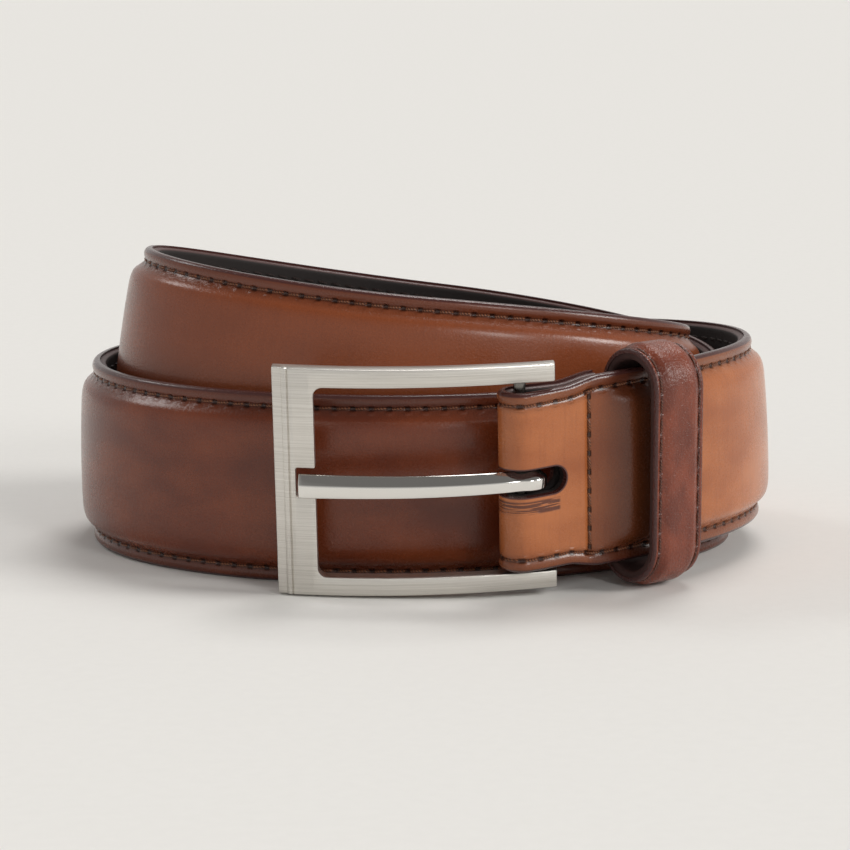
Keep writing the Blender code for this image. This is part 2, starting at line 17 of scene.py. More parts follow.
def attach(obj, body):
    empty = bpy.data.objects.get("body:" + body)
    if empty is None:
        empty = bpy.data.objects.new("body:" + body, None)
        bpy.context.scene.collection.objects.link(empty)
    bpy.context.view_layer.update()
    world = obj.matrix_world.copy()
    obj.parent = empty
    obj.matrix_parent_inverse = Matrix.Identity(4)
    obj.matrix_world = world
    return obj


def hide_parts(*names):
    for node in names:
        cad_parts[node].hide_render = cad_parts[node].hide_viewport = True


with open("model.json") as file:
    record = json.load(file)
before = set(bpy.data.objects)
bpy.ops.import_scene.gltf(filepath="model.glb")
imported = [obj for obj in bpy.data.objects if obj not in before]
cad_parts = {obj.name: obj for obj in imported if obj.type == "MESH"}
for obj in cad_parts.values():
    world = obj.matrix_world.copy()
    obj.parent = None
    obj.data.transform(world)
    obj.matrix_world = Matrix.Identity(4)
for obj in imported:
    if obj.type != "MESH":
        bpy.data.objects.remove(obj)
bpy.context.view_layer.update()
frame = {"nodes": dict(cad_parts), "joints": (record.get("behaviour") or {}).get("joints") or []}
MM = 0.001

# %% [markdown]
# ## The line that the strap follows
#
# A real strap is cut flat and then rolled up. The same is done here: each layer is modelled flat, in a straight
# line, and its points are then carried onto the coil. Blender's Curve modifier could bend it too, but it doesn't
# let the strap lean in and out by a few degrees as it goes round, and the turns lie so close together that a
# degree matters. So the coil is written as a function of the distance along the strap. The tables give, by the
# angle turned, the coil's half-widths, the height of the lower edge, and the lean, in millimetres and degrees.

# %% Coil tables and strap sizes
REACH_X = (
    (0, 64.6), (90, 64.6), (270, 61.7), (450, 59), (630, 56.2), (810, 52), (990, 45.4), (1170, 45.8),
    (1290, 45),
)
REACH_Y = (
    (0, 57), (45, 51.8), (180, 46.9), (360, 41.5), (405, 38), (540, 40.3),
    (720, 35.4), (765, 32.8), (900, 33.6), (1080, 29.2), (1290, 27),
)
HEIGHT = (
    (0, 3), (28, 4.5), (45, 5), (90, 4.8), (180, 0), (270, 0), (360, 0), (450, 0.4), (540, 9), (630, 21.6),
    (720, 16.4), (810, 5.4), (900, 0), (990, 0), (1080, 0), (1290, 0),
)
LEAN = (
    (0, -8), (45, 1.5), (90, 3.5), (170, 0), (210, 0), (270, 0.5), (360, -2), (450, 3.6), (540, 0.5),
    (630, 8.5), (720, 3), (810, 3.8), (900, 0), (990, 2), (1080, 3), (1170, 4.2), (1290, 4),
)
PIN_ANGLE = 17.1
STRAP_WIDTH = 35.0
FOLD_WIDTH = 32.8
STRAP_LENGTH = 1030.0
TIP_LENGTH = 26.0
SHEET = 1.3
FOLD_INSET = 1.35
FOLD_RADIUS = 2.6
FLAP_OFFSET = 2.9
SEAM_PLACE = 12.5
FLAP_LENGTH = 16.0
PANEL_START = 14.0
PANEL_FULL = 22.0
PANEL_RISE = 2.35
STITCH_LINE = 2.4


def smooth_curve(keys, places):
    known, values = np.array(keys, float).T
    slopes = np.gradient(values, known)
    index = np.clip(np.searchsorted(known, places, side="right") - 1, 0, len(known) - 2)
    span = known[index + 1] - known[index]
    u = np.clip((places - known[index]) / span, 0, 1)
    return (
        values[index] * (1 + 2 * u) * (1 - u) ** 2
        + slopes[index] * span * u * (1 - u) ** 2
        + values[index + 1] * u * u * (3 - 2 * u)
        + slopes[index + 1] * span * u * u * (u - 1)
    )


def ease(value, start, end):
    u = np.clip((value - start) / (end - start), 0, 1)
    return u * u * (3 - 2 * u)


def unit(vectors):
    return vectors / np.linalg.norm(vectors, axis=-1, keepdims=True)


# %% Lay out the coil
coil_angles = np.arange(PIN_ANGLE, REACH_X[-1][0], 0.25)
turned = np.radians(coil_angles)
coil_line = np.stack(
    [
        smooth_curve(REACH_X, coil_angles) * np.sin(turned),
        -smooth_curve(REACH_Y, coil_angles) * np.cos(turned),
        np.maximum(smooth_curve(HEIGHT, coil_angles), 0),
    ],
    axis=1,
)
coil_along = unit(np.gradient(coil_line, axis=0))
level_outward = unit(np.stack([coil_along[:, 1], -coil_along[:, 0], 0 * turned], axis=1))
coil_lean = np.radians(smooth_curve(LEAN, coil_angles))[:, None]
coil_across = np.cos(coil_lean) * np.array([0, 0, 1]) - np.sin(coil_lean) * level_outward
coil_across = unit(coil_across - (coil_across * coil_along).sum(axis=1, keepdims=True) * coil_along)
coil_length = np.concatenate([[0], np.cumsum(np.linalg.norm(np.diff(coil_line, axis=0), axis=1))])


def coil_at(distance):
    """Lower edge, along, across and outward directions at distances along the strap, one row each."""

    def read(table):
        return np.stack([np.interp(distance, coil_length, column) for column in table.T], axis=-1)

    along, across = unit(read(coil_along)), unit(read(coil_across))
    return read(coil_line), along, across, np.cross(along, across)


pin_edge, pin_along, pin_across, pin_outward = coil_at(0.0)
pin_centre = pin_edge - FOLD_INSET * pin_outward + pin_across * STRAP_WIDTH / 2
buckle_joint = next(joint for joint in frame["joints"] if joint["child"] == "buckle")
leans = [lean for _, lean in LEAN]
print("coil of", round(coil_length[-1]), "mm, leaning from", min(leans), "to", max(leans))

# %% [markdown]
# ## From flat to wound
#
# A point on a flat layer has three numbers: how far along the strap it lies, how far from the strap's middle,
# and how far out from the glue line between face and lining. Beside the buckle the strap turns back round the
# heel pin and ends in a short flap, which is the stretch before zero. The winding puts each of the three
# stretches in place: flap, fold and coil. It also presses the face over the padding, because leather that is
# glued over a filler keeps its thickness and just follows it.

# %% The winding
FRAME_LEFT = 43.6
FRAME_RIGHT = 6.3
FRAME_HEIGHT = 41.8
FRAME_LIFT = 0.2
FOLD_ARC = math.pi * FOLD_RADIUS
EDGE = STRAP_WIDTH / 2
PANEL_SLOPE = (
    (0, 0), (0.45, 0.17), (1.5, 0.66), (2.6, 0.86), (4.0, 0.95), (6.5, 1.0), (10, 1.04), (15, 1.06),
)
GROOVE_DEPTH = 0.3
GROOVE_WIDTH = 0.42

buckle_length = unit(np.array([1.0, 0, 0]) - pin_across[0] * pin_across)
buckle_out = np.cross(buckle_length, pin_across)
buckle_rise = FRAME_LIFT + FRAME_HEIGHT / 2 * pin_across[2] + FRAME_LEFT * buckle_length[2]
pin_in_coil = np.array([pin_centre[0], pin_centre[1], buckle_rise])
to_frame = np.array(buckle_joint["pos_m"]) / MM - pin_in_coil


def strap_width(distance):
    width = FOLD_WIDTH + (STRAP_WIDTH - FOLD_WIDTH) * ease(distance, 7.5, 15)
    along_tip = np.clip((distance - STRAP_LENGTH + TIP_LENGTH) / TIP_LENGTH, 0, 1)
    return width * np.sqrt(1 - 0.999 * along_tip**2.4)


def panel_rise(distance):
    full = STRAP_LENGTH - TIP_LENGTH
    return PANEL_RISE * ease(distance, PANEL_START, PANEL_FULL) * (1 - ease(distance, full - 4, full + 16))


def pressed(along, across, pressing):
    """How far the face stands out over the padding, less the creases along the stitching."""
    inward = np.clip(EDGE - 2.9 - np.abs(across), 0, 15)
    rise = panel_rise(along) * smooth_curve(PANEL_SLOPE, inward)
    crease = np.exp(-(((np.abs(across) - (EDGE - STITCH_LINE)) / GROOVE_WIDTH) ** 2))
    margin = 0.14 * np.exp(-(((np.abs(across) - EDGE + 1.15) / 0.6) ** 2))
    seam = 0.45 * np.exp(-(((along - SEAM_PLACE) / 0.6) ** 2)) * ease(EDGE - np.abs(across), 1.2, 2.4)
    return pressing * (rise + margin - GROOVE_DEPTH * crease - seam)


def wound(flat, pressing=0.0):
    """Flat strap coordinates, in millimetres, carried onto the fold and the coil, in metres."""
    along_strap, across_strap, out = flat.T
    distance = np.where(along_strap >= 0, along_strap, np.maximum(-along_strap - FOLD_ARC, 0))
    line, along, across, outward = coil_at(distance)
    reach = across_strap * strap_width(distance) / STRAP_WIDTH
    out = out + pressed(along_strap, across_strap, pressing)
    middle = line + (EDGE + reach)[:, None] * across
    front = (FOLD_RADIUS - FOLD_INSET) * (1 - ease(distance, 0, SEAM_PLACE))
    behind = FOLD_RADIUS + FOLD_INSET
    behind = behind + (FLAP_OFFSET - behind) * ease(distance, 0, SEAM_PLACE)
    turn = np.clip(-along_strap / FOLD_RADIUS, 0, math.pi)[:, None]
    radial = np.cos(turn) * pin_outward - np.sin(turn) * pin_along
    folded = pin_centre + reach[:, None] * pin_across + (FOLD_RADIUS + out)[:, None] * radial
    on_coil = middle + (front + out)[:, None] * outward
    on_flap = middle - (behind + out)[:, None] * outward
    placed = np.where((along_strap < -FOLD_ARC)[:, None], on_flap, folded)
    placed = np.where((along_strap >= 0)[:, None], on_coil, placed)
    return (placed + to_frame) * MM


print("the coil is moved by", np.round(to_frame, 3), "mm to stand in the model's place")

# %% [markdown]
# ## Working by hand, in code
#
# These helpers do what a modeller does with the mouse: clear the selection, add a primitive, pick faces or edges
# by their place, run an edit tool, and apply a modifier. The last one turns a flat piece into its final shape.
# It first writes the flat coordinates onto the mesh as an attribute called "laid", so that grain, burnishing and
# stitch holes can be placed by the ruler, as if the leather still lay on the bench.

# %% Modelling helpers
def clear_selection():
    if bpy.context.mode != "OBJECT":
        bpy.ops.object.mode_set(mode="OBJECT")
    bpy.ops.object.select_all(action="DESELECT")


def take(piece):
    """Makes a piece the only one selected, and active."""
    clear_selection()
    piece.select_set(True)
    bpy.context.view_layer.objects.active = piece


def points_of(piece):
    flat = np.empty(len(piece.data.vertices) * 3)
    piece.data.vertices.foreach_get("co", flat)
    return flat.reshape(-1, 3)


def move_points(piece, points):
    piece.data.vertices.foreach_set("co", np.asarray(points, float).ravel())
    piece.data.update()


def add_block(name, low, high):
    """A cube primitive between two corners."""
    clear_selection()
    size = [b - a for a, b in zip(low, high)]
    middle = [(a + b) / 2 for a, b in zip(low, high)]
    bpy.ops.mesh.primitive_cube_add(size=1, location=middle, scale=size)
    block = bpy.context.object
    block.name = block.data.name = name
    bpy.ops.object.transform_apply(location=True, rotation=True, scale=True)
    return block


def add_sheet(name, stations, lines):
    """A grid primitive whose lines are moved to the given stations along it and lines across it."""
    clear_selection()
    bpy.ops.mesh.primitive_grid_add(x_subdivisions=len(stations) - 1, y_subdivisions=len(lines) - 1, size=2)
    sheet = bpy.context.object
    sheet.name = sheet.data.name = name
    points = points_of(sheet)
    column = np.rint((points[:, 0] + 1) / 2 * (len(stations) - 1)).astype(int)
    row = np.rint((points[:, 1] + 1) / 2 * (len(lines) - 1)).astype(int)
    points[:, 0], points[:, 1] = np.array(stations)[column], np.array(lines)[row]
    move_points(sheet, points)
    return sheet


def apply_modifier(piece, kind, **settings):
    take(piece)
    modifier = piece.modifiers.new(kind.title(), kind)
    for key, value in settings.items():
        setattr(modifier, key, value)
    bpy.ops.object.modifier_apply(modifier=modifier.name)


def cut_out(piece, tool):
    """Cuts one solid out of another, and removes the tool."""
    apply_modifier(piece, "BOOLEAN", operation="DIFFERENCE", object=tool, solver="EXACT")
    bpy.data.objects.remove(tool)


def select_edges(piece, test):
    """Enters edit mode with only the edges selected whose two ends pass the test."""
    take(piece)
    points = points_of(piece)
    bpy.ops.object.mode_set(mode="EDIT")
    bpy.ops.mesh.select_all(action="DESELECT")
    bpy.ops.mesh.select_mode(type="EDGE")
    bpy.ops.object.mode_set(mode="OBJECT")
    keys = np.array([edge.vertices[:] for edge in piece.data.edges])
    chosen = test(points[keys[:, 0]], points[keys[:, 1]])
    piece.data.edges.foreach_set("select", chosen)
    bpy.ops.object.mode_set(mode="EDIT")
    return int(chosen.sum())


def draw_lines(piece, axis, places):
    """Bisects a mesh square to an axis at each of the places."""
    take(piece)
    bpy.ops.object.mode_set(mode="EDIT")
    facing = [0.0, 0.0, 0.0]
    facing[axis] = 1.0
    for place in places:
        bpy.ops.mesh.select_all(action="SELECT")
        bpy.ops.mesh.bisect(plane_co=[place * f for f in facing], plane_no=facing)
    bpy.ops.object.mode_set(mode="OBJECT")


def shape(piece, into_place, smooth=40):
    """Keeps the flat coordinates as the attribute "laid", and carries the points into place."""
    flat = points_of(piece)
    laid = piece.data.attributes.new("laid", "FLOAT_VECTOR", "POINT")
    laid.data.foreach_set("vector", flat.ravel())
    move_points(piece, into_place(flat))
    take(piece)
    bpy.ops.object.shade_smooth_by_angle(angle=math.radians(smooth))
    clear_selection()


def finish_piece(piece, body, slot, *nodes):
    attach(piece, body)
    if nodes:
        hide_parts(*nodes)
    triangles = sum(len(face.vertices) - 2 for face in piece.data.polygons)
    print(piece.name, "has", triangles, "triangles")


# %% [markdown]
# ## The strap's two leathers
#
# The face is burnished calf and the lining is dark nubuck. Each starts as a flat grid with the lines set close
# where the leather bends sharply: round the heel pin, at the seam beside it, and along the stitching. Solidify
# gives the grid its thickness, a bevel rounds the outer edges as an edge iron does, and the slot for the prong
# and the holes are cut while the leather is flat. One bend function does the rest.

# %% Lines for the strap's grid
SLOT_HEIGHT = 5.3
SLOT_REACH = 7.6
HOLE_COUNT = 5
HOLE_PITCH = 25.0
FIRST_HOLE = 86.0
HOLE_RADIUS = 2.0

half_lines = [
    0, 3, 6, 8.5, 10.2, 11.2, 12.0, 12.7, 13.3, 13.8,
    14.2, 14.5, 14.75, 14.95, 15.1, 15.25, 15.5, 15.9, 16.3, 17.5,
]
face_lines = [-line for line in reversed(half_lines[1:])] + half_lines
flap_start = -FOLD_ARC - FLAP_LENGTH
stations = np.concatenate(
    [
        np.linspace(flap_start, -FOLD_ARC, 10, endpoint=False),
        np.linspace(-FOLD_ARC, 0, 24, endpoint=False),
        np.arange(0, 10.5, 0.75),
        np.arange(10.5, 15, 0.3),
        np.arange(15, 30, 1.0),
        np.linspace(30, STRAP_LENGTH - TIP_LENGTH, 640, endpoint=False),
        STRAP_LENGTH - TIP_LENGTH * np.cos(np.linspace(0, math.pi / 2, 20)),
    ]
)
print(len(stations), "stations along the strap and", len(face_lines), "lines across it")


# %% Cut the face and the lining
def slot_tool(depth):
    """A long block with round ends, as high as the slot, right round the fold."""
    front, back = SLOT_REACH, -FOLD_ARC - SLOT_REACH
    tool = add_block("slot tool", (back, -SLOT_HEIGHT / 2, -depth), (front, SLOT_HEIGHT / 2, depth))
    select_edges(tool, lambda a, b: (a[:, 0] == b[:, 0]) & (a[:, 1] == b[:, 1]))
    bpy.ops.mesh.bevel(offset=SLOT_HEIGHT / 2 - 0.01, segments=8, affect="EDGES")
    bpy.ops.object.mode_set(mode="OBJECT")
    return tool


def hole_tool(distance, depth):
    clear_selection()
    bpy.ops.mesh.primitive_cylinder_add(
        vertices=32, radius=HOLE_RADIUS, depth=2 * depth, location=(distance, 0, 0)
    )
    bpy.ops.object.transform_apply(location=True, rotation=True, scale=True)
    return bpy.context.object


def cut_layer(name, lines, outward):
    """One flat layer of the strap, with rounded outer edges, slot and holes."""
    layer = add_sheet(name, stations, lines)
    apply_modifier(layer, "SOLIDIFY", thickness=SHEET, offset=1)
    if not outward:
        move_points(layer, points_of(layer) - (0, 0, SHEET))
    outer = SHEET if outward else -SHEET
    edge = max(lines)

    def outer_rim(a, b):
        at_rim = (np.abs(a[:, 2] - outer) < 0.01) & (np.abs(b[:, 2] - outer) < 0.01)
        return at_rim & (np.abs(np.abs(a[:, 1]) - edge) < 0.01) & (np.abs(np.abs(b[:, 1]) - edge) < 0.01)

    select_edges(layer, outer_rim)
    bpy.ops.mesh.bevel(offset=0.8, segments=4, affect="EDGES")
    bpy.ops.object.mode_set(mode="OBJECT")
    cut_out(layer, slot_tool(6))
    for index in range(HOLE_COUNT):
        cut_out(layer, hole_tool(STRAP_LENGTH - FIRST_HOLE - index * HOLE_PITCH, 6))
    return layer


strap_leather = cut_layer("strap_leather", face_lines, True)
shape(strap_leather, lambda flat: wound(flat, pressing=1.0))
finish_piece(strap_leather, "strap", "face_leather", "strap_face")
lining_lines = [-17.1, -16, -12, -8, -4, 0, 4, 8, 12, 16, 17.1]
strap_nubuck = cut_layer("strap_nubuck", lining_lines, False)
shape(strap_nubuck, wound)
finish_piece(strap_nubuck, "strap", "lining_leather", "strap_lining")

# %% [markdown]
# ## Stitches
#
# A lockstitch shows as a row of short plump dashes that dive into the leather at both ends. One stitch is
# modelled from a cylinder, and an Array modifier lays out the row. The row is wound like the leather it lies on.
# The same stitch, a little longer, closes the fold beside the buckle and edges the keeper.

# %% One stitch, and rows of it
STITCH_PITCH = 3.2
STITCH_LENGTH = 2.75
THREAD = 0.46
SEAM_PITCH = 3.5


def add_stitch(name, length, thickness):
    """A stitch along X whose ends turn down into the leather."""
    clear_selection()
    bpy.ops.mesh.primitive_cylinder_add(
        vertices=6, radius=thickness / 2, depth=length, end_fill_type="TRIFAN", rotation=(0, math.pi / 2, 0)
    )
    stitch = bpy.context.object
    stitch.name = stitch.data.name = name
    bpy.ops.object.transform_apply(location=True, rotation=True, scale=True)
    draw_lines(stitch, 0, [length * share for share in (-0.4, -0.22, 0.22, 0.4)])
    points = points_of(stitch)
    along = np.abs(points[:, 0]) / (length / 2)
    points[:, 1:] *= (1 - 0.55 * along**4)[:, None]
    points[:, 2] -= 0.42 * along**5 * thickness * 2
    points[:, 1] += 0.07 * points[:, 0]
    move_points(stitch, points)
    return stitch


def row_of(stitch, start, across, height, count, pitch):
    """A copy of the stitch, repeated along X from a start."""
    take(stitch)
    bpy.ops.object.duplicate()
    row = bpy.context.object
    row.data.name = row.name
    move_points(row, points_of(row) + (start, across, height))
    apply_modifier(
        row, "ARRAY", count=count, use_relative_offset=False, use_constant_offset=True,
        constant_offset_displace=(pitch, 0, 0),
    )
    return row


def joined(name, rows):
    clear_selection()
    for row in rows:
        row.select_set(True)
    bpy.context.view_layer.objects.active = rows[0]
    bpy.ops.object.join()
    piece = bpy.context.object
    piece.name = piece.data.name = name
    return piece


stitch = add_stitch("stitch", STITCH_LENGTH, THREAD)
stitch_row = EDGE - STITCH_LINE
row_start = -2.6
row_count = int((STRAP_LENGTH - 8 - row_start) / STITCH_PITCH)
on_face = SHEET + 0.06
needle_rows = [
    row_of(stitch, row_start, side * stitch_row, on_face, row_count, STITCH_PITCH) for side in (-1, 1)
]
needle = joined("edge_needle_stitches", needle_rows)
shape(needle, lambda flat: wound(flat - (0, 0, GROOVE_DEPTH)))
finish_piece(needle, "strap", "thread", "edge_needle_thread")
bobbin_start = FLAP_LENGTH + 2.0
bobbin_count = int((STRAP_LENGTH - 8 - bobbin_start) / STITCH_PITCH)
bobbin_row, on_lining = stitch_row - 0.4, SHEET + 0.02
bobbin_rows = [
    row_of(stitch, bobbin_start, side * bobbin_row, on_lining, bobbin_count, STITCH_PITCH) for side in (-1, 1)
]
bobbin = joined("edge_bobbin_stitches", bobbin_rows)
shape(bobbin, lambda flat: wound(flat * (1, 1, -1)))
finish_piece(bobbin, "strap", "thread", "edge_bobbin_thread")


# %% The seam beside the fold
def seam_row(name, start_offset, out):
    """Stitches across the strap at the seam, from near one edge to near the other."""
    seam_stitch = add_stitch(name, 3.0, 0.62)
    count = 8
    row = row_of(seam_stitch, -SEAM_PITCH * (count - 1) / 2 + start_offset, 0, 0, count, SEAM_PITCH)
    bpy.data.objects.remove(seam_stitch)
    points = points_of(row)
    move_points(row, np.stack([SEAM_PLACE - points[:, 1], points[:, 0], out + points[:, 2]], axis=1))
    row.name = row.data.name = name
    return row


seam_needle = seam_row("seam_needle_stitches", 0.0, SHEET - 0.22)
shape(seam_needle, wound)
finish_piece(seam_needle, "strap", "thread", "seam_needle_thread")
seam_bobbin = seam_row("seam_bobbin_stitches", 0.0, 0.1)
shape(seam_bobbin, lambda flat: wound(flat * (1, 1, -1) - (0, 0, FLAP_OFFSET + SHEET)))
finish_piece(seam_bobbin, "strap", "thread", "seam_bobbin_thread")

# %% [markdown]
# ## The keeper
#
# The keeper is a narrow padded strip, lined, sewn along both edges, and bent into an upright ring with half-round
# ends. It is made the way the strap is: flat first, then carried round the ring. It sits a little askew on the
# strap, as a keeper does that has been pushed along by hand.

# %% The ring that the keeper follows
LOOP_ANGLE = 39.5
LOOP_SKEW = -2
LOOP_WIDTH = 11.6
LOOP_HEIGHT = 42.8
LOOP_DEPTH = 14.8
LOOP_CENTRE = 1.75
LOOP_SHEET = 0.9
LOOP_RISE = 0.75
LOOP_LIFT = 1.0
RING_RADIUS = LOOP_DEPTH / 2 - LOOP_SHEET
RING_STRAIGHT = LOOP_HEIGHT / 2 - LOOP_SHEET - RING_RADIUS
RING_LENGTH = 4 * RING_STRAIGHT + 2 * math.pi * RING_RADIUS
LOOP_ROW = 4.65

loop_edge, loop_along, _, loop_outward = coil_at(np.interp(LOOP_ANGLE, coil_angles, coil_length))
skew = math.radians(LOOP_SKEW)
loop_across = math.cos(skew) * loop_along + math.sin(skew) * loop_outward
loop_across = unit(loop_across * (1, 1, 0))
loop_out = np.cross(loop_across, (0, 0, 1.0))
loop_middle = loop_edge + LOOP_CENTRE * loop_outward
loop_middle[2] = LOOP_LIFT + LOOP_HEIGHT / 2


def round_the_ring(flat, pressing=0.0):
    """Flat keeper coordinates, from one end of the strip to the other, carried round the ring."""
    along, across, out = flat.T
    bend = math.pi * RING_RADIUS
    stops = np.cumsum([0, RING_STRAIGHT, bend, 2 * RING_STRAIGHT, bend, RING_STRAIGHT])
    turn = math.pi + (np.clip(along - stops[1], 0, bend) + np.clip(along - stops[3], 0, bend)) / RING_RADIUS
    facing_out, facing_up = np.cos(turn), np.sin(turn)
    down = np.clip(along, 0, stops[1])
    up = np.clip(along - stops[2], 0, 2 * RING_STRAIGHT)
    down_again = np.clip(along - stops[4], 0, RING_STRAIGHT)
    height = -down + up - down_again
    rise = LOOP_RISE * ease(facing_out, -0.9, -0.2) * ease(LOOP_WIDTH / 2 - np.abs(across), 1.3, 2.9)
    crease = 0.22 * np.exp(-(((np.abs(across) - LOOP_ROW) / 0.3) ** 2))
    radial = RING_RADIUS + out + pressing * (rise - crease)
    out_of_ring = facing_out * radial
    up_ring = facing_up * radial + height
    placed = loop_middle + across[:, None] * loop_across + out_of_ring[:, None] * loop_out
    placed = placed + up_ring[:, None] * np.array([0, 0, 1.0])
    return (placed + to_frame) * MM


print("the keeper's strip is", round(RING_LENGTH, 1), "mm long")


# %% Cut the keeper's layers
def cut_keeper(name, lines, outward):
    straight_steps = np.linspace(0.15, RING_LENGTH - 0.15, 110)
    layer = add_sheet(name, straight_steps, lines)
    thickness = LOOP_SHEET if outward else 1.2
    apply_modifier(layer, "SOLIDIFY", thickness=thickness, offset=1)
    if not outward:
        move_points(layer, points_of(layer) - (0, 0, thickness))
    outer = thickness if outward else -thickness
    edge = max(lines)

    def outer_rim(a, b):
        at_rim = (np.abs(a[:, 2] - outer) < 0.01) & (np.abs(b[:, 2] - outer) < 0.01)
        return at_rim & (np.abs(np.abs(a[:, 1]) - edge) < 0.01) & (np.abs(np.abs(b[:, 1]) - edge) < 0.01)

    select_edges(layer, outer_rim)
    bpy.ops.mesh.bevel(offset=0.5, segments=3, affect="EDGES")
    bpy.ops.object.mode_set(mode="OBJECT")
    return layer


keeper_half = [0, 1.2, 2.1, 2.8, 3.4, 3.8, 4.1, 4.35, 4.5, 4.65, 4.8, 5.0, 5.25, 5.8]
keeper_lines = [-line for line in reversed(keeper_half[1:])] + keeper_half
keeper_leather = cut_keeper("keeper_leather", keeper_lines, True)
shape(keeper_leather, lambda flat: round_the_ring(flat, pressing=1.0))
finish_piece(keeper_leather, "keeper", "loop_leather", "loop_face")
keeper_lining = cut_keeper("keeper_lining", [-5.6, -3, 0, 3, 5.6], False)
shape(keeper_lining, round_the_ring)
finish_piece(keeper_lining, "keeper", "lining_leather", "loop_lining")
keeper_pitch = 3.6
keeper_count = int((RING_LENGTH - 4) / keeper_pitch)
for side, name, node in (
    (-1, "keeper_buckle_side_stitches", "loop_buckle_side_thread"),
    (1, "keeper_tip_side_stitches", "loop_tip_side_thread"),
):
    row = row_of(stitch, 2.5, side * LOOP_ROW, LOOP_SHEET - 0.06, keeper_count, keeper_pitch)
    row.name = row.data.name = name
    shape(row, round_the_ring)
    finish_piece(row, "keeper", "thread", node)
bpy.data.objects.remove(stitch)

# %% [markdown]
# ## The buckle
#
# The frame is a flat C of metal with a window, a notch for the prong's tip and a narrow stepped rib down its left
# side. It is cut from a block while flat, its sharp edges are broken with a small bevel, which is given a polished
# finish of its own, and it is then bowed. The prong is a bar with one broad facet along its top, bent over the
# heel pin.

# %% The flat frame, bowed
FRAME_THICKNESS = 3.2
FRAME_BOW = 3.2
BAR_WIDTH = 7.3
WINDOW_HALF = 17.4
WINDOW_CORNER = 1.6
NOTCH_DEPTH = 3.5
NOTCH_HALF = 2.7
RIB_PROFILE = (
    (0, -0.5), (1.6, -0.42), (1.85, -0.06), (2.2, 0.06), (2.5, -0.02), (2.7, -0.22), (2.9, 0), (50, 0),
)


def bow(place):
    middle = (FRAME_RIGHT - FRAME_LEFT) / 2
    half = (FRAME_RIGHT + FRAME_LEFT) / 2
    return FRAME_BOW * ((middle / half) ** 2 - ((place - middle) / half) ** 2)


def in_buckle(flat):
    """Buckle coordinates, which are place along it, depth and height, to metres in the model."""
    axes = np.stack([buckle_length, buckle_out, pin_across])
    return np.array(buckle_joint["pos_m"]) + flat @ axes * MM


def bowed(flat):
    place, depth, height = flat.T
    from_left = place + FRAME_LEFT
    front = np.clip(depth / FRAME_THICKNESS * 2, 0, 1)
    depth = depth + front * np.interp(from_left, *np.array(RIB_PROFILE).T) + bow(place)
    arm = np.clip(np.abs(height) - WINDOW_HALF, 0, 4)
    narrowed = arm * 0.35 / (FRAME_HEIGHT / 2 - WINDOW_HALF) * from_left / (FRAME_LEFT + FRAME_RIGHT)
    return in_buckle(np.stack([place, depth, height - np.sign(height) * narrowed], axis=1))


half_thick = FRAME_THICKNESS / 2
half_high = FRAME_HEIGHT / 2
plate_low, plate_high = (-FRAME_LEFT, -half_thick, -half_high), (FRAME_RIGHT, half_thick, half_high)
buckle = add_block("buckle_plate", plate_low, plate_high)
bar_edge = BAR_WIDTH - FRAME_LEFT
window = add_block("window tool", (bar_edge, -9, -WINDOW_HALF), (FRAME_RIGHT + 9, 9, WINDOW_HALF))


def window_corner(a, b):
    at_bar = (np.abs(a[:, 0] - bar_edge) < 0.01) & (np.abs(b[:, 0] - bar_edge) < 0.01)
    return at_bar & (a[:, 2] == b[:, 2])


select_edges(window, window_corner)
bpy.ops.mesh.bevel(offset=WINDOW_CORNER, segments=8, affect="EDGES")
bpy.ops.object.mode_set(mode="OBJECT")
cut_out(buckle, window)
notch = add_block("notch tool", (bar_edge - NOTCH_DEPTH, -9, -NOTCH_HALF), (bar_edge + 1, 9, NOTCH_HALF))
cut_out(buckle, notch)
polished = bpy.data.materials.new("polished edge")
buckle.data.materials.append(bpy.data.materials.new("brushed face"))
buckle.data.materials.append(polished)
apply_modifier(
    buckle, "BEVEL", width=0.3, segments=2, limit_method="ANGLE", angle_limit=math.radians(40),
    miter_outer="MITER_ARC", material=1, harden_normals=False,
)
rib_lines = [place - FRAME_LEFT for place, _ in RIB_PROFILE[1:-1]]
draw_lines(buckle, 0, rib_lines + list(np.arange(3.4 - FRAME_LEFT, FRAME_RIGHT - 0.5, 1.4)))
shape(buckle, bowed, smooth=30)
finish_piece(buckle, "buckle", "satin_nickel", "buckle_frame")

# %% The prong
PRONG_THICKNESS = 2.4
PRONG_HEIGHT = 4.0
PRONG_ROOT_HEIGHT = 3.3
PRONG_TIP = 39.4
PRONG_ARCH = 2.6
PRONG_SAG = 0.45
PRONG_WRAP = 238
PRONG_ROOT = 2.5
PRONG_HEEL = 1.0


def bent_prong(flat):
    """A straight bar, from the prong's tip to the end of its eye, bent to shape."""
    along, depth, height = flat.T
    share = np.clip(along / PRONG_TIP, 0, 1)
    rest = half_thick + bow(-PRONG_TIP) + 0.1
    line_out = rest + (PRONG_ROOT - rest) * ease(share, 0, 1) + PRONG_ARCH * np.sin(math.pi * share) ** 0.8
    heel = np.clip(along - PRONG_TIP, 0, PRONG_HEEL)
    turn = np.clip(along - PRONG_TIP - PRONG_HEEL, 0, 99) / PRONG_ROOT
    line_place = (share - 1) * PRONG_TIP + heel + PRONG_ROOT * np.sin(turn)
    line_out = np.where(along > PRONG_TIP, PRONG_ROOT * np.cos(turn), line_out)
    tall = height * (PRONG_HEIGHT + (PRONG_ROOT_HEIGHT - PRONG_HEIGHT) * share) / PRONG_HEIGHT
    place = line_place + np.where(along > PRONG_TIP, np.sin(turn) * depth, 0)
    out = line_out + np.where(along > PRONG_TIP, np.cos(turn) * depth, depth)
    return in_buckle(np.stack([place, out, tall - PRONG_SAG * (1 - share)], axis=1))


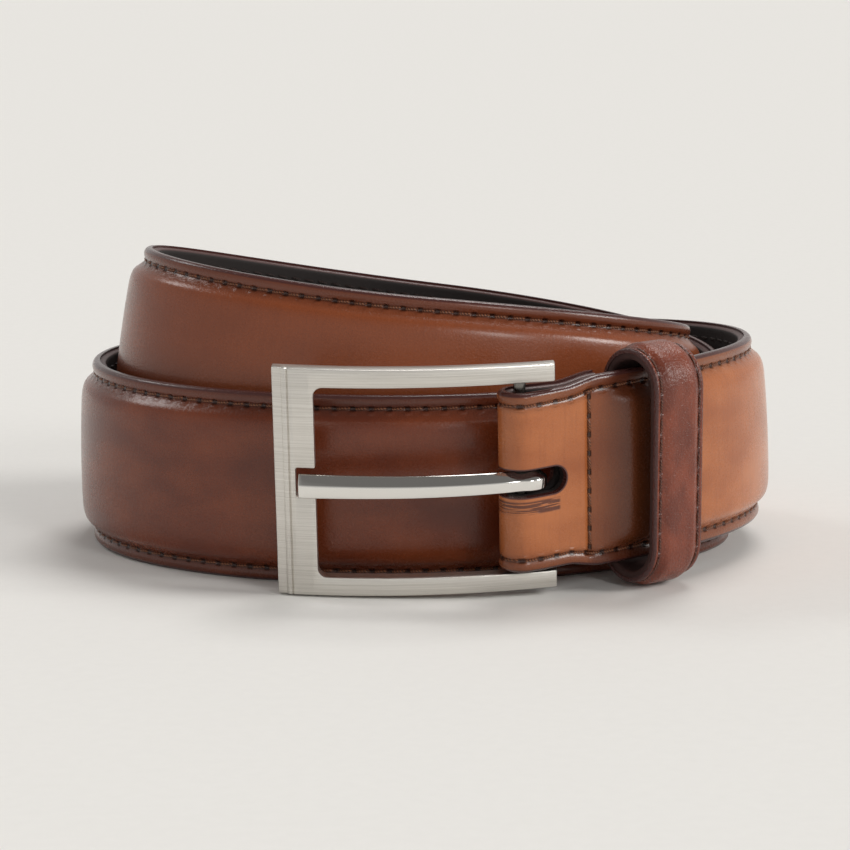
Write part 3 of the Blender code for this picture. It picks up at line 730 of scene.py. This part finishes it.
prong_length = PRONG_TIP + PRONG_HEEL + PRONG_ROOT * math.radians(PRONG_WRAP)
half_tall, half_deep = PRONG_HEIGHT / 2, PRONG_THICKNESS / 2
prong = add_block("prong_bar", (0, -half_deep, -half_tall), (prong_length, half_deep, half_tall))
select_edges(prong, lambda a, b: (a[:, 1] > 0) & (b[:, 1] > 0) & (a[:, 2] > 0) & (b[:, 2] > 0))
bpy.ops.mesh.bevel(offset=1.7, segments=1, affect="EDGES")
bpy.ops.object.mode_set(mode="OBJECT")
apply_modifier(prong, "BEVEL", width=0.22, segments=3, limit_method="ANGLE", angle_limit=math.radians(30))
draw_lines(prong, 0, np.arange(0.8, prong_length - 0.4, 0.6))
shape(prong, bent_prong, smooth=30)
finish_piece(prong, "prong", "polished_steel", "prong")

# %% [markdown]
# ## Writing finishes
#
# A finish is a tree of shader nodes. Written out one by one, the nodes hide the idea, so two small classes are
# used: one wraps a socket, so that sums and products of sockets can be written as such, and one makes any node
# from its type, its settings and its inputs.

# %% Shader shorthand
class Signal:
    """A shader socket that can be used in a sum or a product."""

    def __init__(self, finish, socket):
        self.finish, self.socket = finish, socket

    def joined(self, operation, other, flipped=False):
        first, second = (other, self) if flipped else (self, other)
        return self.finish.node("Math", {"operation": operation}, {0: first, 1: second})

    def __add__(self, other):
        return self.joined("ADD", other)

    def __sub__(self, other):
        return self.joined("SUBTRACT", other)

    def __rsub__(self, other):
        return self.joined("SUBTRACT", other, flipped=True)

    def __mul__(self, other):
        return self.joined("MULTIPLY", other)

    def __truediv__(self, other):
        return self.joined("DIVIDE", other)

    __radd__ = __add__
    __rmul__ = __mul__


class Finish:
    """A material with one Principled shader, and short ways to add nodes in front of it."""

    def __init__(self, name, roughness, metallic=0.0, material=None):
        self.material = material or bpy.data.materials.new(name)
        self.material.use_nodes = True
        self.tree = self.material.node_tree
        self.shader = self.tree.nodes["Principled BSDF"]
        self.shader.inputs["Roughness"].default_value = roughness
        self.shader.inputs["Metallic"].default_value = metallic

    def feed(self, socket, value):
        if isinstance(value, Signal):
            self.tree.links.new(value.socket, socket)
        else:
            socket.default_value = value

    def node(self, kind, settings, inputs, output=0):
        made = self.tree.nodes.new("ShaderNode" + kind)
        for key, value in settings.items():
            if key == "stops":
                ramp = made.color_ramp
                while len(ramp.elements) < len(value):
                    ramp.elements.new(0.5)
                for element, (position, colour) in zip(ramp.elements, value):
                    element.position, element.color = position, (*colour, 1)
            else:
                setattr(made, key, value)
        for key, value in inputs.items():
            self.feed(made.inputs[key], value)
        return Signal(self, made.outputs[output])

    def laid(self, stretch=(1, 1, 1)):
        """The flat coordinates in millimetres, stretched."""
        flat = self.node("Attribute", {"attribute_name": "laid"}, {}, output="Vector")
        return self.node("VectorMath", {"operation": "MULTIPLY"}, {0: flat, 1: stretch})

    def parts(self, vector):
        return [self.node("SeparateXYZ", {}, {0: vector}, output=axis) for axis in ("X", "Y", "Z")]

    def noise(self, vector, scale, detail=2.0, roughness=0.5):
        inputs = {"Vector": vector, "Scale": scale, "Detail": detail, "Roughness": roughness}
        return self.node("TexNoise", {}, inputs)

    def between(self, value, low, high):
        """0 below low and 1 above high, with an eased step; high may be below low."""
        settings = {"interpolation_type": "SMOOTHSTEP"}
        if low < high:
            return self.node("MapRange", settings, {"Value": value, "From Min": low, "From Max": high})
        return 1 - self.node("MapRange", settings, {"Value": value, "From Min": high, "From Max": low})

    def size_of(self, value):
        return self.node("Math", {"operation": "ABSOLUTE"}, {0: value})

    def blend(self, share, first, second):
        first, second = [c if isinstance(c, Signal) else (*c, 1) for c in (first, second)]
        return self.node("Mix", {"data_type": "RGBA"}, {0: share, 6: first, 7: second}, output=2)

    def relief(self, height, distance, strength=1.0):
        normal = self.node("Bump", {}, {"Height": height, "Distance": distance, "Strength": strength})
        self.feed(self.shader.inputs["Normal"], normal)

    def colour(self, value):
        self.feed(self.shader.inputs["Base Color"], value if isinstance(value, Signal) else (*value, 1))

    def roughness(self, value):
        self.feed(self.shader.inputs["Roughness"], value)


def wear(piece, *finishes):
    """Gives a piece its finishes, one for each of its material slots."""
    piece.data.materials.clear()
    for finish in finishes:
        piece.data.materials.append(finish.material)

# %% [markdown]
# ## Burnished calf
#
# The face is rubbed with wax and dye by hand, so its tan is uneven. It is light beside the buckle and much deeper
# from the back of the first turn on. The light stretch is the leather's own lighter tan at the fold, and painted
# light on the right side of the first turn, which faces the right lamp. It is darkest along the margin outside the
# stitching, which is burnished, and beside and under the keeper, where painted shadow of the keeper lies over some
# burnish. The groove along the stitching and the stitch holes are darkened with painted shade.
# The cut edge is painted purple-brown. The grain shows only in the highlight, which a thin coat sharpens. The
# finish puts each of these in place by the flat coordinates.

# %% The face leather
calf = Finish("burnished calf", 0.36)
calf.shader.inputs["Specular IOR Level"].default_value = 0.3
calf.shader.inputs["Coat Weight"].default_value = 0.35
calf.shader.inputs["Coat Roughness"].default_value = 0.2
along, across, out = calf.parts(calf.laid())
from_middle = calf.size_of(across)
mottle = calf.noise(calf.laid((0.05, 0.09, 0.05)), 1.0, detail=3.0)
streaks = calf.noise(calf.laid((1.6, 0.12, 1.0)), 1.0, detail=2.0)
grain = calf.noise(calf.laid((1, 1, 1)), 2.6, detail=2.0, roughness=0.65)
LIGHT_TAN, TAN, DEEP_TAN = (0.47, 0.155, 0.052), (0.34, 0.098, 0.03), (0.115, 0.022, 0.0075)
REDDISH, SHADE_AND_BURNISH_BROWN = (0.20, 0.044, 0.0135), (0.04, 0.010, 0.005)
EDGE_PAINT = (0.07, 0.022, 0.019)
mottled = calf.between(mottle, 0.3, 0.7)
light_and_lit_end = calf.blend(mottled, TAN, LIGHT_TAN)
dark_end = calf.blend(mottled, DEEP_TAN, REDDISH)
second_right = calf.between(along, 520, 640) * calf.between(along, 900, 700)
dark_end = calf.blend(second_right * 0.7, dark_end, (0.29, 0.075, 0.024))
# Painted light: on the right side of the first turn, which faces the right lamp, this lighter tan stands in for
# light; at the fold it is the leather's own lighter tan.
tone = calf.blend(calf.between(along, 95, 170), light_and_lit_end, dark_end)
# Painted shadow: beside and under the keeper the strap is darkened for the keeper's shadow, over some real
# burnish.
keeper_shadow_and_burnish = calf.between(along, 11.4, 13.6) * calf.between(along, 33, 25)
under_keeper_shade_and_burnish = calf.between(along, 14, 20) * calf.between(along, 35, 29)
tone = calf.blend(keeper_shadow_and_burnish * 0.62, tone, DEEP_TAN)
tone = calf.blend(under_keeper_shade_and_burnish * 0.6, tone, SHADE_AND_BURNISH_BROWN)
tone = calf.blend(calf.between(streaks, 0.45, 0.8) * 0.14, tone, DEEP_TAN)
margin = calf.between(from_middle, EDGE - 4.4, EDGE - 1.8)
tone = calf.blend(margin * 0.6, tone, (0.085, 0.023, 0.013))
# Painted shade: the groove along the stitching is darkened where shade falls in it.
crease = calf.between(calf.size_of(from_middle - stitch_row), 0.6, 0.1)
tone = calf.blend(crease * 0.75, tone, SHADE_AND_BURNISH_BROWN)

phase = calf.node("Math", {"operation": "FRACT"}, {0: (along - row_start) / STITCH_PITCH})
from_hole = calf.size_of(phase - 0.5) * STITCH_PITCH
hole = calf.between(from_hole, 0.7, 0.15) * calf.between(calf.size_of(from_middle - stitch_row), 0.6, 0.15)
from_lip = calf.size_of(from_middle - stitch_row + 0.75)
lip = calf.between(from_hole, 1.1, 0.2) * calf.between(from_lip, 0.5, 0.05)
seam_phase = calf.node("Math", {"operation": "FRACT"}, {0: across / SEAM_PITCH + 0.5})
from_seam_hole = calf.size_of(seam_phase - 0.5) * SEAM_PITCH
seam_hole = calf.between(from_seam_hole, 0.75, 0.3) * calf.between(calf.size_of(along - SEAM_PLACE), 0.5, 0.2)
seam_hole = seam_hole * calf.between(from_middle, EDGE - 2.0, EDGE - 2.6)
# Painted shade: the stitch holes and the seam's holes are painted nearly black for the shade inside them.
tone = calf.blend(hole * 0.8, tone, (0.02, 0.006, 0.004))
tone = calf.blend(seam_hole * 0.9, tone, (0.012, 0.004, 0.003))

slot_along = calf.node("Math", {"operation": "MAXIMUM"}, {0: along - (SLOT_REACH - SLOT_HEIGHT / 2), 1: 0.0})
from_slot_end = calf.node("Math", {"operation": "SQRT"}, {0: slot_along * slot_along + across * across})
from_slot = from_slot_end - SLOT_HEIGHT / 2
slot_paint = calf.between(from_slot, 0.4, 0.15) * calf.between(along, SLOT_REACH + 1, SLOT_REACH + 0.6)
scuff = calf.noise(calf.laid((0.22, 3.2, 1.0)), 1.0, detail=3.0)
scuffed = calf.between(along, -5.4, -5.0) * calf.between(along, 6.4, 5.9) * calf.between(across, -6.2, -5.8)
scuffed = scuffed * calf.between(across, -3.3, -3.7) * calf.between(scuff, 0.38, 0.52)
tone = calf.blend(scuffed * 0.9, tone, (0.085, 0.024, 0.016))
painted = calf.between(from_middle, EDGE - 0.75, EDGE - 0.45)
tone = calf.blend(painted, tone, EDGE_PAINT)
tone = calf.blend(slot_paint, tone, EDGE_PAINT)
calf.colour(tone)
calf.roughness(0.24 - mottled * 0.05 + grain * 0.12 - painted * 0.05)
calf.relief(grain * 0.07 - hole * 0.35 + lip * 0.16 - seam_hole * 0.5 + streaks * 0.02 - scuffed * 0.05, MM)
wear(strap_leather, calf)

# %% [markdown]
# ## Keeper leather, lining and thread
#
# The keeper is cut from a redder, glossier skin whose grain sparkles in the light. The lining is nubuck, nearly
# black and matt. The thread is waxed and twisted: its plies show as fine slanting ridges.

# %% Keeper leather
keeper_calf = Finish("grained keeper leather", 0.34)
along, across, out = keeper_calf.parts(keeper_calf.laid())
from_middle = keeper_calf.size_of(across)
mottle = keeper_calf.noise(keeper_calf.laid((0.12, 0.2, 0.1)), 1.0, detail=3.0)
grain = keeper_calf.noise(keeper_calf.laid(), 2.2, detail=2.0, roughness=0.6)
tone = keeper_calf.blend(keeper_calf.between(mottle, 0.3, 0.7), (0.13, 0.026, 0.012), (0.23, 0.05, 0.022))
# Painted shade: the groove along the keeper's stitching is darkened where shade falls in it.
crease = keeper_calf.between(keeper_calf.size_of(from_middle - LOOP_ROW), 0.5, 0.1)
tone = keeper_calf.blend(crease * 0.7, tone, (0.03, 0.008, 0.006))
painted = keeper_calf.between(from_middle, LOOP_WIDTH / 2 - 0.5, LOOP_WIDTH / 2 - 0.3)
tone = keeper_calf.blend(painted, tone, EDGE_PAINT)
phase = keeper_calf.node("Math", {"operation": "FRACT"}, {0: (along - 2.5) / keeper_pitch})
from_hole = keeper_calf.size_of(phase - 0.5) * keeper_pitch
hole = keeper_calf.between(from_hole, 0.6, 0.15) * crease
keeper_calf.colour(tone)
keeper_calf.roughness(0.2 + grain * 0.14 - painted * 0.05)
keeper_calf.relief(grain * 0.2 - hole * 0.25, MM)
wear(keeper_leather, keeper_calf)

# %% Lining
nubuck = Finish("dark nubuck", 0.75)
_, across, out = nubuck.parts(nubuck.laid())
fibres = nubuck.noise(nubuck.laid((1, 1, 1)), 1.3, detail=4.0, roughness=0.7)
clouds = nubuck.noise(nubuck.laid((0.08, 0.08, 0.08)), 1.0, detail=2.0)
tone = nubuck.blend(clouds, (0.010, 0.007, 0.0065), (0.022, 0.015, 0.0135))
lining_edge = nubuck.between(nubuck.size_of(across), 16.5, 16.8) * nubuck.between(out, -1.25, -1.0)
nubuck.colour(nubuck.blend(lining_edge, tone, EDGE_PAINT))
nubuck.roughness(0.8 - lining_edge * 0.4)
nubuck.relief(fibres * 0.06, MM)
wear(strap_nubuck, nubuck)
keeper_nubuck = Finish("dark keeper lining", 0.7)
fibres = keeper_nubuck.noise(keeper_nubuck.laid(), 1.3, detail=4.0, roughness=0.7)
keeper_nubuck.colour(keeper_nubuck.blend(fibres, (0.03, 0.012, 0.010), (0.06, 0.022, 0.018)))
keeper_nubuck.relief(fibres * 0.05, MM)
wear(keeper_lining, keeper_nubuck)

# %% Thread
def thread_finish(name, dark, light):
    made = Finish(name, 0.5)
    turns = made.node(
        "TexWave", {"wave_type": "BANDS", "bands_direction": "DIAGONAL"},
        {"Vector": made.laid((1.1, 1.1, 1.1)), "Scale": 1.0, "Distortion": 0.4},
    )
    made.colour(made.blend(turns, dark, light))
    made.relief(turns * 0.05, MM)
    return made


waxed_thread = thread_finish("waxed thread", (0.05, 0.015, 0.007), (0.26, 0.09, 0.035))
dark_thread = thread_finish("dark thread", (0.012, 0.006, 0.005), (0.03, 0.014, 0.011))
for piece, finish in (
    (needle, waxed_thread), (seam_needle, waxed_thread), (bobbin, dark_thread), (seam_bobbin, dark_thread),
):
    wear(piece, finish)
keeper_thread = thread_finish("keeper thread", (0.03, 0.009, 0.006), (0.16, 0.05, 0.025))
for name in ("keeper_buckle_side_stitches", "keeper_tip_side_stitches"):
    wear(bpy.data.objects[name], keeper_thread)

# %% [markdown]
# ## Metal
#
# The buckle's face is satin nickel: a belt sander leaves fine lines along the arms. The lines are noise that is
# drawn out along the frame, which changes the roughness and, very slightly, the surface. The broken edges, the
# prong and the pin are polished.

# %% Buckle, prong and pin
satin = Finish("satin nickel", 0.32, metallic=1.0)
lines = satin.noise(satin.laid((0.05, 1.0, 11.0)), 1.0, detail=3.0, roughness=0.7)
broad = satin.noise(satin.laid((0.02, 0.3, 0.6)), 1.0, detail=2.0)
satin.colour(satin.blend(satin.between(lines, 0.3, 0.7), (0.58, 0.555, 0.51), (0.77, 0.745, 0.70)))
satin.roughness(0.27 + lines * 0.14 + broad * 0.04)
satin.relief(lines * 0.03, MM)
polished_edge = Finish("polished nickel edge", 0.14, metallic=1.0)
haze = polished_edge.noise(polished_edge.laid((0.3, 0.3, 0.3)), 1.0)
polished_edge.colour((0.72, 0.70, 0.66))
polished_edge.roughness(0.1 + haze * 0.08)
wear(buckle, satin, polished_edge)
chrome = Finish("polished steel", 0.08, metallic=1.0)
smears = chrome.noise(chrome.laid((0.15, 0.6, 0.6)), 1.0, detail=3.0)
chrome.colour((0.78, 0.765, 0.73))
chrome.roughness(0.05 + smears * 0.08)
chrome.relief(smears * 0.03, MM)
wear(prong, chrome)

# %% The pieces inside, which keep their own shapes
pin_steel = Finish("pin steel", 0.2, metallic=1.0)
where = pin_steel.node("TexCoord", {}, {}, output="Object")
turning = pin_steel.noise(where, 900.0, detail=2.0)
pin_steel.colour((0.20, 0.19, 0.175))
pin_steel.roughness(0.15 + turning * 0.15)
felt = Finish("pressed felt", 0.95)
where = felt.node("TexCoord", {}, {}, output="Object")
fluff = felt.noise(where, 1500.0, detail=3.0)
felt.colour(felt.blend(fluff, (0.34, 0.26, 0.18), (0.48, 0.38, 0.28)))
felt.relief(fluff * 0.2, MM)
inside = {"heel_pin": pin_steel, "loop_staple": pin_steel, "strap_filler": felt, "loop_filler": felt}
for node, finish in inside.items():
    wear(frame["nodes"][node], finish)
print("finishes:", ", ".join(sorted(m.name for m in bpy.data.materials if m.users)))

# %% [markdown]
# ## Floor, light and camera
#
# The belt stands on a wide pale floor. Soft suns light it, because a sun is equally strong everywhere and keeps
# a wide floor even, where a lamp close by would leave it dark behind. The strongest stands high and a little
# behind, one is on the right, and weaker ones at the front and left put a sheen on the padding. The dome around
# is bright low down and dark overhead, so that polished metal has something dark to mirror.

# %% Floor
clear_selection()
bpy.ops.mesh.primitive_plane_add(size=40, location=(0, 12, 0))
floor = bpy.context.object
floor.name = "floor"
bpy.ops.object.transform_apply(location=True, rotation=True, scale=True)
paper = Finish("pale floor", 0.85)
where = paper.node("TexCoord", {}, {}, output="Object")
speckle = paper.noise(where, 400.0, detail=2.0)
paper.colour(paper.blend(speckle, (0.80, 0.79, 0.765), (0.83, 0.82, 0.795)))
wear(floor, paper)


# %% Lights
def soft_sun(name, toward, strength, spread, colour):
    lamp = bpy.data.lights.new(name, "SUN")
    lamp.energy = strength
    lamp.angle = math.radians(spread)
    lamp.color = colour
    holder = bpy.data.objects.new(name, lamp)
    bpy.context.scene.collection.objects.link(holder)
    holder.rotation_euler = Vector(toward).to_track_quat("Z", "Y").to_euler()


soft_sun("top light", (0.2, 0.42, 0.88), 1.15, 26, (1, 0.985, 0.965))
soft_sun("right light", (0.82, -0.2, 0.5), 1.25, 18, (1, 0.985, 0.96))
soft_sun("front light", (0.5, -0.74, 0.45), 0.5, 14, (1, 0.985, 0.965))
soft_sun("left light", (-0.62, 0.36, 0.68), 0.35, 16, (1, 0.99, 0.98))

# %% The dome around, and how its light is turned into colour
world = bpy.data.worlds.new("studio")
world.use_nodes = True
sky = world.node_tree
direction = sky.nodes.new("ShaderNodeTexCoord").outputs["Generated"]
upward = sky.nodes.new("ShaderNodeSeparateXYZ")
sky.links.new(direction, upward.inputs[0])
dome = sky.nodes.new("ShaderNodeValToRGB")
dome.color_ramp.elements[0].color = (0.60, 0.59, 0.575, 1)
dome.color_ramp.elements[0].position = 0.25
dome.color_ramp.elements[1].color = (0.17, 0.165, 0.16, 1)
dome.color_ramp.elements[1].position = 0.85
sky.links.new(upward.outputs["Z"], dome.inputs[0])
sky.links.new(dome.outputs[0], sky.nodes["Background"].inputs["Color"])
bpy.context.scene.world = world
bpy.context.scene.view_settings.view_transform = "Standard"

# %% Camera
CAMERA_ELEVATION = math.radians(10.7)
CAMERA_DISTANCE = 0.6
camera_target = (np.array([1.24, -10, 20]) + to_frame) * MM
toward_camera = np.array([0, -math.cos(CAMERA_ELEVATION), math.sin(CAMERA_ELEVATION)])
camera_place = camera_target + CAMERA_DISTANCE * toward_camera
lens = bpy.data.cameras.new("camera")
lens.lens = 133.2
lens.sensor_width = 36
lens.clip_start, lens.clip_end = 0.01, 100
camera = bpy.data.objects.new("camera", lens)
bpy.context.scene.collection.objects.link(camera)
camera.location = camera_place
camera_aim = camera_target + np.array([0, 0, 0.0034])
camera.rotation_euler = Vector(camera_aim - camera_place).to_track_quat("-Z", "Y").to_euler()
bpy.context.scene.camera = camera

# %% Update the scene and finish
bpy.context.view_layer.update()
